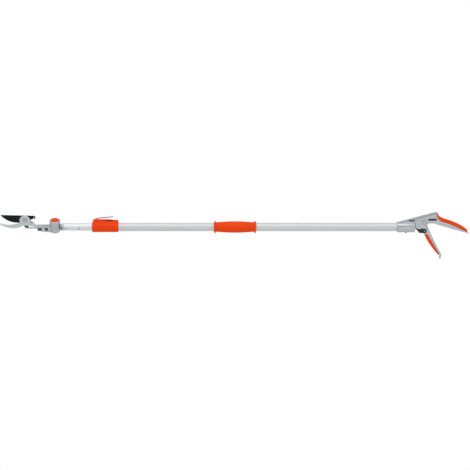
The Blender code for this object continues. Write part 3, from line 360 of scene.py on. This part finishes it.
def make_finishes(colours):
    """One finish for each material slot of the record."""
    finish("anodised_tube", colours.tube, 0.95, 0.45, 0.5, 0.05, (6, 260, 260), 9.0, 1.2, 0.12, 0.00004,
           wear=0.4, grime=0.4)
    finish("bright_tube", colours.bright_tube, 0.95, 0.6, 0.42, 0.05, (6, 260, 260), 9.0, 1.2, 0.1, 0.00003,
           wear=0.4, grime=0.4)
    finish("orange_plastic", colours.orange, 0.95, 0.0, 0.34, 0.06, fine=1500.0, coarse=22.0, bump=0.18,
           depth=0.00006, worn=(0.93, 0.22, 0.09), wear=0.5, grime=0.7, shade_reach=0.005, shine=0.10)
    finish("orange_grip", colours.orange_soft, 0.93, 0.0, 0.52, 0.07, fine=1100.0, coarse=28.0, bump=0.45,
           depth=0.00014, worn=(0.92, 0.2, 0.07), wear=0.4, grime=0.6, shade_reach=0.004, pits=1300.0,
           shine=0.10)
    finish("lever_steel", colours.lever, 0.85, 0.5, 0.42, 0.06, (40, 1, 40), 20.0, 1.0, 0.15, 0.00005,
           worn=(0.5, 0.47, 0.44), wear=0.3, grime=0.4)
    finish("die_casting", colours.casting, 0.88, 0.85, 0.33, 0.07, fine=700.0, coarse=26.0, bump=0.35,
           depth=0.00014, worn=(0.80, 0.82, 0.84), wear=0.8, grime=1.0, shade_reach=0.008, pits=950.0)
    finish("drive_rod", colours.bright, 0.9, 0.9, 0.33, 0.06, (4, 300, 300), 9.0, 1.5, 0.15, 0.00004)
    finish("coated_blade", colours.blade, 0.7, 0.0, 0.45, 0.07, fine=800.0, coarse=35.0, bump=0.18,
           depth=0.00006, worn=(0.16, 0.17, 0.19), wear=0.6, wear_radius=0.0005, grime=0.3, shine=0.15)
    finish("hook_steel", colours.plate, 0.92, 0.7, 0.40, 0.07, (40, 1, 40), 22.0, 0.9, 0.22, 0.00006,
           worn=(0.74, 0.77, 0.79), wear=0.8, grime=0.8)
    finish("bright_steel", colours.bright, 0.86, 0.92, 0.28, 0.06, fine=1200.0, coarse=60.0, bump=0.12,
           depth=0.00005, worn=(0.85, 0.85, 0.86), wear=0.6, grime=0.8)
    finish("black_plastic", colours.black, 0.7, 0.0, 0.42, 0.07, fine=1400.0, coarse=40.0, bump=0.25,
           depth=0.00008, worn=(0.06, 0.06, 0.065), wear=0.7, grime=0.3)
    finish("nylon", colours.nylon, 0.85, 0.0, 0.5, 0.06, fine=900.0, coarse=30.0, bump=0.15, depth=0.00006,
           wear=0.3, grime=0.4)


# ---------------------------------------------------------------- modelling

def pick(obj):
    """Leaves only this object selected and active."""
    if bpy.context.mode != "OBJECT":
        bpy.ops.object.mode_set(mode="OBJECT")
    bpy.ops.object.select_all(action="DESELECT")
    obj.select_set(True)
    bpy.context.view_layer.objects.active = obj


def apply_modifiers(obj):
    pick(obj)
    for modifier in list(obj.modifiers):
        bpy.ops.object.modifier_apply(modifier=modifier.name)


def choose(obj, kind, test):
    """In edit mode, selects only the verts, edges or faces that pass a test."""
    shape = bmesh.from_edit_mesh(obj.data)
    modes = {"verts": (True, False, False), "edges": (False, True, False), "faces": (False, False, True)}
    bpy.context.tool_settings.mesh_select_mode = modes[kind]
    for element in list(shape.faces) + list(shape.edges) + list(shape.verts):
        element.select_set(False)
    for element in [element for element in getattr(shape, kind) if test(element)]:
        element.select_set(True)
    shape.select_flush_mode()
    bmesh.update_edit_mesh(obj.data)


def finished(obj, name, node, smooth=SMOOTH_ANGLE, slot=None):
    """Puts a piece among the bodies with its finish. It stands for its node unless a slot is given, which
    makes it an extra piece on that node's body with a finish of its own."""
    pick(obj)
    bpy.ops.object.transform_apply(location=True, rotation=True, scale=True)
    bpy.ops.object.shade_smooth_by_angle(angle=math.radians(smooth))
    obj.name = name
    obj.data.name = name
    obj.data.materials.clear()
    obj.data.materials.append(bpy.data.materials[FINISH + (slot or SLOT_OF[node])])
    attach(obj, BODY_OF[node])
    if not slot:
        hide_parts(node)


def copy_of(node):
    """A copy of a solid's mesh, merged, with the flat faces whole again."""
    obj = bpy.data.objects.new(node + "_copy", frame["nodes"][node].data.copy())
    bpy.context.scene.collection.objects.link(obj)
    pick(obj)
    bpy.ops.object.mode_set(mode="EDIT")
    bpy.ops.mesh.select_all(action="SELECT")
    bpy.ops.mesh.remove_doubles(threshold=MERGE_DISTANCE)
    bpy.ops.mesh.dissolve_limited(angle_limit=math.radians(FLAT_ANGLE))
    bpy.ops.mesh.normals_make_consistent(inside=False)
    bpy.ops.object.mode_set(mode="OBJECT")
    return obj


def weigh_edges(obj, width, angle):
    """Gives each edge that turns more than an angle a bevel weight, less where there is little room beside
    it or where it runs into a knife-like corner."""
    shape = bmesh.new()
    shape.from_mesh(obj.data)
    layer = shape.edges.layers.float.new("bevel_weight_edge")
    sharp = [edge for edge in shape.edges
             if len(edge.link_faces) == 2 and edge.calc_face_angle(0.0) > math.radians(angle)]
    corners = np.array(sorted({tuple(vert.co) for edge in sharp for vert in edge.verts}), dtype=float)
    for edge in sharp:
        a, b = (np.array(vert.co, dtype=float) for vert in edge.verts)
        length = max(np.linalg.norm(b - a), 1e-7)
        run = (b - a) / length
        offset = corners - a
        along = offset @ run
        inside = np.clip(along, 0.0, length)
        gap = np.linalg.norm(offset - inside[:, None] * run, axis=1)
        beyond = np.abs(along - inside)
        beside = (gap > 1e-7) & (beyond < gap * BESIDE_SHARE)
        room = gap[beside].min() if beside.any() else width * OPEN_WIDTHS
        edge[layer] = min(1.0, ROOM_SHARE * room / width)
    knives = [edge for edge in sharp if edge.calc_face_angle(0.0) > math.radians(KNIFE_ANGLE)]
    tight = {vert for edge in knives for vert in edge.verts}
    for edge in sharp:
        if tight.intersection(edge.verts):
            edge[layer] *= KNIFE_SHARE
    shape.to_mesh(obj.data)
    shape.free()


def rounded(obj, width, segments=2, angle=SHARP_ANGLE):
    """Rounds the edges that turn more than an angle, as far as the room beside each allows and never past
    the piece's own box."""
    corners = [vert.co for vert in obj.data.vertices]
    low = [min(corner[axis] for corner in corners) for axis in range(3)]
    high = [max(corner[axis] for corner in corners) for axis in range(3)]
    weigh_edges(obj, width, angle)
    bevel = obj.modifiers.new("rounding", "BEVEL")
    bevel.width = width
    bevel.segments = segments
    bevel.limit_method = "WEIGHT"
    bevel.use_clamp_overlap = False
    apply_modifiers(obj)
    for vert in obj.data.vertices:
        vert.co = [min(max(vert.co[axis], low[axis]), high[axis]) for axis in range(3)]
    return obj


def refined(node, ending, width, segments=2, angle=SHARP_ANGLE, smooth=SMOOTH_ANGLE):
    """Makes a solid with its edges rounded, which stands for that solid and has its name with an ending."""
    finished(rounded(copy_of(node), width, segments, angle), node + "_" + ending, node, smooth)


def shade_plate(name, node, across, low, high, corner, turn=None, slot="nylon"):
    """A thin dark plate with round corners at the bottom of a recess, painted shade for the dark hollow there,
    between two y across the piece and two (x, z) corners, all in metres."""
    low, high = Vector((low[0], min(across), low[1])), Vector((high[0], max(across), high[1]))
    bpy.ops.object.select_all(action="DESELECT")
    bpy.ops.mesh.primitive_cube_add(size=1.0, location=(low + high) / 2)
    obj = bpy.context.active_object
    obj.scale = high - low
    bpy.ops.object.transform_apply(location=True, rotation=True, scale=True)
    bpy.ops.object.mode_set(mode="EDIT")
    choose(obj, "edges", lambda edge: abs(edge.verts[0].co.y - edge.verts[1].co.y) > 0.5 * (high.y - low.y))
    bpy.ops.mesh.bevel(offset=corner, segments=4, affect="EDGES")
    bpy.ops.object.mode_set(mode="OBJECT")
    if turn:
        obj.data.transform(turn)
    finished(obj, name, node, SHADE_PLATE_SMOOTH_ANGLE, slot)


def facing(axis):
    """The turn that carries +Z to an axis."""
    return Vector(axis).to_track_quat("Z", "Y").to_euler()


def lathe(stations, centre, axis, sides):
    """Turns a ring from (distance along the axis, radius) stations, one after another round its section."""
    axis = Vector(axis).normalized()
    centre = Vector(centre)
    first = stations[0]
    bpy.ops.object.select_all(action="DESELECT")
    bpy.ops.mesh.primitive_circle_add(vertices=sides, radius=first[1], fill_type="NOTHING",
                                      location=centre + axis * first[0], rotation=facing(axis))
    obj = bpy.context.active_object
    bpy.ops.object.transform_apply(location=True, rotation=True, scale=True)
    bpy.ops.object.mode_set(mode="EDIT")
    bpy.ops.mesh.select_all(action="SELECT")
    at, radius = first
    for distance, new_radius in stations[1:]:
        step = axis * (distance - at)
        bpy.ops.mesh.extrude_region_move(TRANSFORM_OT_translate={"value": step})
        ratio = new_radius / radius
        bpy.ops.transform.resize(value=(ratio, ratio, ratio), center_override=centre + axis * distance)
        at, radius = distance, new_radius
    choose(obj, "edges", lambda edge: len(edge.link_faces) == 1)
    bpy.ops.mesh.bridge_edge_loops()
    bpy.ops.mesh.select_all(action="SELECT")
    bpy.ops.mesh.normals_make_consistent(inside=False)
    bpy.ops.object.mode_set(mode="OBJECT")
    return obj


def cut_away(obj, tool):
    """Cuts a tool's shape out of a piece and removes the tool."""
    cut = obj.modifiers.new("cut", "BOOLEAN")
    cut.operation = "DIFFERENCE"
    cut.solver = "EXACT"
    cut.object = tool
    apply_modifiers(obj)
    bpy.data.objects.remove(tool)


def groove(obj, start, end, height, inner, outer):
    """Cuts a straight channel along both sides of a piece, between two (x, z) points of its middle line."""
    run = Vector((end[0] - start[0], 0, end[1] - start[1]))
    for side in (-1, 1):
        bpy.ops.object.select_all(action="DESELECT")
        bpy.ops.mesh.primitive_cube_add(size=1.0, rotation=(0, -math.atan2(run.z, run.x), 0),
                                        location=((start[0] + end[0]) / 2, side * (inner + outer) / 2,
                                                  (start[1] + end[1]) / 2))
        tool = bpy.context.active_object
        tool.scale = (run.length, outer - inner, height)
        cut_away(obj, tool)


# ---------------------------------------------------------------- pieces

class PRUNER_OT_finishes(bpy.types.Operator):
    """Makes the procedural materials"""
    bl_idname = "pruner.finishes"
    bl_label = "Finishes"

    def execute(self, context):
        make_finishes(context.scene.pruner_colours)
        for node, obj in frame["nodes"].items():
            material = bpy.data.materials[FINISH + SLOT_OF[node]]
            obj.data.materials.clear()
            obj.data.materials.append(material)
        return {"FINISHED"}


class PRUNER_OT_pole(bpy.types.Operator):
    """Turns the two round tubes with softened ends, and rounds the rivets and the bush"""
    bl_idname = "pruner.pole"
    bl_label = "Pole"

    def execute(self, context):
        sizes = context.scene.pruner_sizes
        lip = 0.4 * MM
        for node in ("outer_tube", "inner_tube"):
            low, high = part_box(node)
            radius = (high.z - low.z) / 2
            bore = radius - sizes.tube_wall
            stations = [(low.x + lip, bore), (low.x, bore + lip), (low.x, radius - lip),
                        (low.x + lip, radius), (high.x - lip, radius), (high.x, radius - lip),
                        (high.x, bore + lip), (high.x - lip, bore)]
            tube = lathe(stations, (0, 0, 0), ALONG, sizes.tube_sides)
            finished(tube, node + "_drawn", node, TURNED_SMOOTH_ANGLE)
        for node in ("pole_rivet_front", "pole_rivet_rear"):
            refined(node, "head", 0.35 * MM, 3)
        refined("guide_bush", "moulded", sizes.round_fine)
        return {"FINISHED"}


class PRUNER_OT_hand_grip(bpy.types.Operator):
    """Turns the rubber grip with its end flanges and its two bands of grooves"""
    bl_idname = "pruner.hand_grip"
    bl_label = "Hand grip"

    def execute(self, context):
        sizes = context.scene.pruner_sizes
        _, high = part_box("hand_grip")
        end, flange = high.x, high.z
        barrel = end - GRIP_FLANGE * MM
        first_groove = barrel - GRIP_BAND * MM
        step = barrel / GRIP_STEPS

        def swell(x):
            turn = 0.5 * math.pi * min(1.0, abs(x) / barrel)
            return GRIP_WAIST * MM + (GRIP_CROWN - GRIP_WAIST) * MM * math.cos(turn)

        band = [first_groove - i * sizes.rib_pitch for i in range(sizes.rib_count)][::-1]
        smooth_part = band[0] - sizes.rib_pitch / 2
        right = [(k * step, swell(k * step)) for k in range(1, GRIP_STEPS) if k * step < smooth_part]
        wide = GRIP_GROOVE * MM
        for x in band:
            for offset, sink in ((-wide, 0.0), (-wide / 3, 1.0), (wide / 3, 1.0), (wide, 0.0)):
                right.append((x + offset, swell(x) - sink * sizes.rib_depth))
        right.append((barrel - 5 * MM, swell(barrel - 5 * MM)))
        right += [(barrel - back * MM, radius * MM) for back, radius in GRIP_FILLET]
        width = end - barrel
        right += [(barrel + share * width, flange - drop * MM) for share, drop in GRIP_FLANGE_CROWN]
        right += [(end, (GRIP_BORE + GRIP_LIP) * MM), (end - GRIP_LIP * MM, GRIP_BORE * MM)]
        left = [(-x, radius) for x, radius in right[::-1]]
        grip = lathe(left + [(0.0, swell(0.0))] + right, (0, 0, 0), ALONG, sizes.tube_sides)
        finished(grip, "hand_grip_rubber", "hand_grip", TURNED_SMOOTH_ANGLE)
        return {"FINISHED"}


class PRUNER_OT_clamp(bpy.types.Operator):
    """Rounds the clamp housing, the lever and its pin, and puts dark plates in the recesses as painted shade"""
    bl_idname = "pruner.clamp"
    bl_label = "Clamp"

    def execute(self, context):
        sizes = context.scene.pruner_sizes
        refined("clamp_housing", "moulded", sizes.round_moulded, 4)
        refined("clamp_lever", "pressed", sizes.round_fine)
        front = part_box("clamp_housing")[0].x
        (x0, z0), (x1, z1), depths = CLAMP_RECESS
        # Painted shade: a black plate at the bottom of each recess darkens it.
        for side, sign in SIDES:
            shade_plate("clamp_recess_" + side, "clamp_housing", [sign * depth * MM for depth in depths],
                   (front + x0 * MM, z0 * MM), (front + x1 * MM, z1 * MM), 1.2 * MM, slot="black_plastic")
        refined("clamp_lever_pin", "turned", sizes.round_fine)
        return {"FINISHED"}


class PRUNER_OT_handle(bpy.types.Operator):
    """Rounds the cast handle, its covers and its rubber pad, cuts its grooves and puts dark plates in its slots as
    painted shade
    """
    bl_idname = "pruner.handle"
    bl_label = "Handle"

    def execute(self, context):
        sizes = context.scene.pruner_sizes
        casting = rounded(copy_of("handle_casting"), sizes.round_cast)
        at = TRIGGER_CENTRE.x
        for (x0, z0), (x1, z1), height, inner, outer in HANDLE_GROOVES:
            groove(casting, (at + x0 * MM, z0 * MM), (at + x1 * MM, z1 * MM), height * MM, inner * MM,
                   outer * MM)
        finished(casting, "handle_casting_rounded", "handle_casting")
        refined("grip_pad", "rubber", sizes.round_pad, 4, SOFT_ANGLE, SOFT_ANGLE)
        for side, _ in SIDES:
            refined("cheek_cover_" + side, "rounded", sizes.round_cast, 3)
        # Painted shade: a dark plate at the bottom of each slot darkens it.
        for place, depth, (x0, z0), (x1, z1) in HANDLE_SLOTS:
            for side, sign in SIDES:
                across = [sign * depth * MM, sign * (depth + HANDLE_SHADE_PLATE) * MM]
                shade_plate(f"handle_slot_{place}_{side}", "handle_casting", across, (at + x0 * MM, z0 * MM),
                       (at + x1 * MM, z1 * MM), 1.8 * MM)
        return {"FINISHED"}


class PRUNER_OT_trigger(bpy.types.Operator):
    """Rounds the trigger, its rubber pad and the lock catch"""
    bl_idname = "pruner.trigger"
    bl_label = "Trigger"

    def execute(self, context):
        sizes = context.scene.pruner_sizes
        refined("trigger", "rounded", sizes.round_cast)
        refined("trigger_pad", "rubber", sizes.round_pad, 4, SOFT_ANGLE, SOFT_ANGLE)
        refined("lock_catch", "moulded", sizes.round_cast)
        return {"FINISHED"}


class PRUNER_OT_fasteners(bpy.types.Operator):
    """Rounds the pins, nuts, washers and screws"""
    bl_idname = "pruner.fasteners"
    bl_label = "Fasteners"

    def execute(self, context):
        fine = context.scene.pruner_sizes.round_fine
        for node in ("trigger_pivot_pin", "trigger_pivot_nut", "collar_screw", "pivot_bolt", "pivot_washer",
                     "pivot_nut", "stop_screw", "hook_rivet", "tilt_bolt", "tilt_stud", "link_pin"):
            refined(node, "turned", fine)
        return {"FINISHED"}


class PRUNER_OT_drive(bpy.types.Operator):
    """Rounds the rear rod and the pull link"""
    bl_idname = "pruner.drive"
    bl_label = "Drive"

    def execute(self, context):
        fine = context.scene.pruner_sizes.round_fine
        refined("drive_rod_rear", "drawn", fine)
        refined("pull_link", "pressed", fine)
        return {"FINISHED"}


class PRUNER_OT_head(bpy.types.Operator):
    """Rounds the head's castings and the angle button, and puts dark plates in the head's windows as painted shade
    """
    bl_idname = "pruner.head"
    bl_label = "Cutting head"

    def execute(self, context):
        sizes = context.scene.pruner_sizes
        refined("head_socket", "rounded", sizes.round_cast)
        refined("head_body", "rounded", sizes.round_cast)
        refined("angle_button", "moulded", sizes.round_button, 3)
        # Painted shade: a dark plate at the bottom of each window darkens it.
        across = [y * MM for y in HEAD_WINDOW_Y]
        low, high = HEAD_WINDOW_Z
        for place, x0, x1 in HEAD_WINDOWS:
            shade_plate("head_window_" + place, "head_body", across, (x0 * MM, low * MM), (x1 * MM, high * MM),
                   1.3 * MM, IN_HEAD)
        return {"FINISHED"}


class PRUNER_OT_jaws(bpy.types.Operator):
    """Rounds the hook and the blade"""
    bl_idname = "pruner.jaws"
    bl_label = "Hook and blade"

    def execute(self, context):
        fine = context.scene.pruner_sizes.round_fine
        refined("hook_plate", "ground", fine * 2, 3)
        refined("blade", "ground", fine * 1.6, 3)
        return {"FINISHED"}


# ---------------------------------------------------------------- stage

def studio_world(scene):
    """A surround that the camera sees white. It lights from above more than below, and less from behind."""
    world = bpy.data.worlds.new("studio")
    scene.world = world
    world.use_nodes = True
    tree = world.node_tree
    tree.nodes.clear()
    direction = put(tree, "ShaderNodeTexCoord").outputs["Generated"]
    parts = put(tree, "ShaderNodeSeparateXYZ", {"Vector": direction}).outputs
    rise = put(tree, "ShaderNodeMapRange", {"Value": parts["Z"], "From Min": -1.0, "From Max": 1.0})
    ramp = put(tree, "ShaderNodeValToRGB", {"Fac": rise.outputs["Result"]})
    stops = ramp.color_ramp.elements
    stops[0].position, stops[0].color = 0.0, (0.62, 0.625, 0.63, 1)
    stops[1].position, stops[1].color = 1.0, (1.0, 1.0, 1.0, 1)
    for position, level in ((0.38, 0.60), (0.50, 0.64), (0.60, 0.86)):
        stop = stops.new(position)
        stop.color = (level, level, level * 1.01, 1)
    behind = put(tree, "ShaderNodeMapRange", {"Value": parts["Y"], "From Min": 0.15, "From Max": 0.85,
                                              "To Min": 1.0, "To Max": 0.16},
                 interpolation_type="SMOOTHSTEP")
    strength = put(tree, "ShaderNodeMath", {0: behind.outputs["Result"], 1: 0.95}, operation="MULTIPLY")
    soft = put(tree, "ShaderNodeBackground", {"Color": ramp.outputs["Color"],
                                              "Strength": strength.outputs["Value"]})
    white = put(tree, "ShaderNodeBackground", {"Color": (1, 1, 1, 1), "Strength": 1.0})
    seen = put(tree, "ShaderNodeLightPath").outputs["Is Camera Ray"]
    both = put(tree, "ShaderNodeMixShader", {0: seen})
    tree.links.new(soft.outputs[0], both.inputs[1])
    tree.links.new(white.outputs[0], both.inputs[2])
    tree.links.new(both.outputs[0], put(tree, "ShaderNodeOutputWorld").inputs["Surface"])


def floor_material():
    """A pale floor that stays white where it is seen."""
    made = bpy.data.materials.new("pale_floor")
    made.use_nodes = True
    tree = made.node_tree
    tree.nodes.clear()
    matt = put(tree, "ShaderNodeBsdfDiffuse", {"Color": (0.90, 0.90, 0.90, 1)})
    glow = put(tree, "ShaderNodeEmission", {"Color": (1, 1, 1, 1), "Strength": 1.0})
    both = put(tree, "ShaderNodeMixShader", {0: put(tree, "ShaderNodeLightPath").outputs["Is Camera Ray"]})
    tree.links.new(matt.outputs[0], both.inputs[1])
    tree.links.new(glow.outputs[0], both.inputs[2])
    tree.links.new(both.outputs[0], put(tree, "ShaderNodeOutputMaterial").inputs["Surface"])
    return made


def soft_light(name, place, width, height, power):
    """Adds a rectangular area light aimed at the origin."""
    data = bpy.data.lights.new(name, "AREA")
    data.shape = "RECTANGLE"
    data.size = width
    data.size_y = height
    data.energy = power
    lamp = bpy.data.objects.new(name, data)
    bpy.context.scene.collection.objects.link(lamp)
    lamp.location = place
    lamp.rotation_euler = (-Vector(place)).to_track_quat("-Z", "Y").to_euler()


class PRUNER_OT_stage(bpy.types.Operator):
    """Makes the pale floor, the soft lights and the camera"""
    bl_idname = "pruner.stage"
    bl_label = "Stage"

    def execute(self, context):
        scene = context.scene
        settings = scene.pruner_stage
        studio_world(scene)
        scene.view_settings.view_transform = "Standard"
        bpy.ops.object.select_all(action="DESELECT")
        bpy.ops.mesh.primitive_plane_add(size=FLOOR_SIZE, location=(0, 0, settings.floor_height))
        floor = context.active_object
        bpy.ops.object.transform_apply(location=True, rotation=True, scale=True)
        floor.name = "floor"
        floor.data.materials.append(floor_material())
        soft_light("key_light", KEY_PLACE, 2.6, 0.9, settings.key)
        soft_light("fill_light", FILL_PLACE, 2.6, 1.2, settings.fill)

        data = bpy.data.cameras.new("camera")
        data.sensor_width = SENSOR_WIDTH
        data.lens = settings.lens
        distance = settings.lens * settings.view_width / data.sensor_width
        camera = bpy.data.objects.new("camera", data)
        scene.collection.objects.link(camera)
        camera.location = (0, -distance, settings.view_height)
        camera.rotation_euler = (math.pi / 2, 0, 0)
        data.clip_end = distance * 3
        scene.camera = camera
        return {"FINISHED"}


class PRUNER_PT_panel(bpy.types.Panel):
    """Lists the pruner's pieces and settings"""
    bl_idname = "PRUNER_PT_panel"
    bl_label = "Long-Reach Pruner"
    bl_space_type = "VIEW_3D"
    bl_region_type = "UI"
    bl_category = "Pruner"

    def draw(self, context):
        column = self.layout.column()
        for operator in OPERATORS:
            column.operator(operator.bl_idname)
        for group in (context.scene.pruner_colours, context.scene.pruner_sizes, context.scene.pruner_stage):
            box = self.layout.box()
            for name in group.__annotations__:
                box.prop(group, name)


OPERATORS = (PRUNER_OT_stage, PRUNER_OT_finishes, PRUNER_OT_pole, PRUNER_OT_hand_grip, PRUNER_OT_clamp,
             PRUNER_OT_handle, PRUNER_OT_trigger, PRUNER_OT_fasteners, PRUNER_OT_drive, PRUNER_OT_head,
             PRUNER_OT_jaws)
SETTINGS = {"pruner_colours": PrunerColours, "pruner_sizes": PrunerSizes, "pruner_stage": PrunerStage}


def register():
    for cls in (*SETTINGS.values(), *OPERATORS, PRUNER_PT_panel):
        bpy.utils.register_class(cls)
    for name, cls in SETTINGS.items():
        setattr(bpy.types.Scene, name, bpy.props.PointerProperty(type=cls))


def unregister():
    for name in SETTINGS:
        delattr(bpy.types.Scene, name)
    for cls in reversed((*SETTINGS.values(), *OPERATORS, PRUNER_PT_panel)):
        bpy.utils.unregister_class(cls)


def main():
    register()
    for operator in OPERATORS:
        category, name = operator.bl_idname.split(".")
        getattr(getattr(bpy.ops, category), name)()


if __name__ == "__main__":
    main()
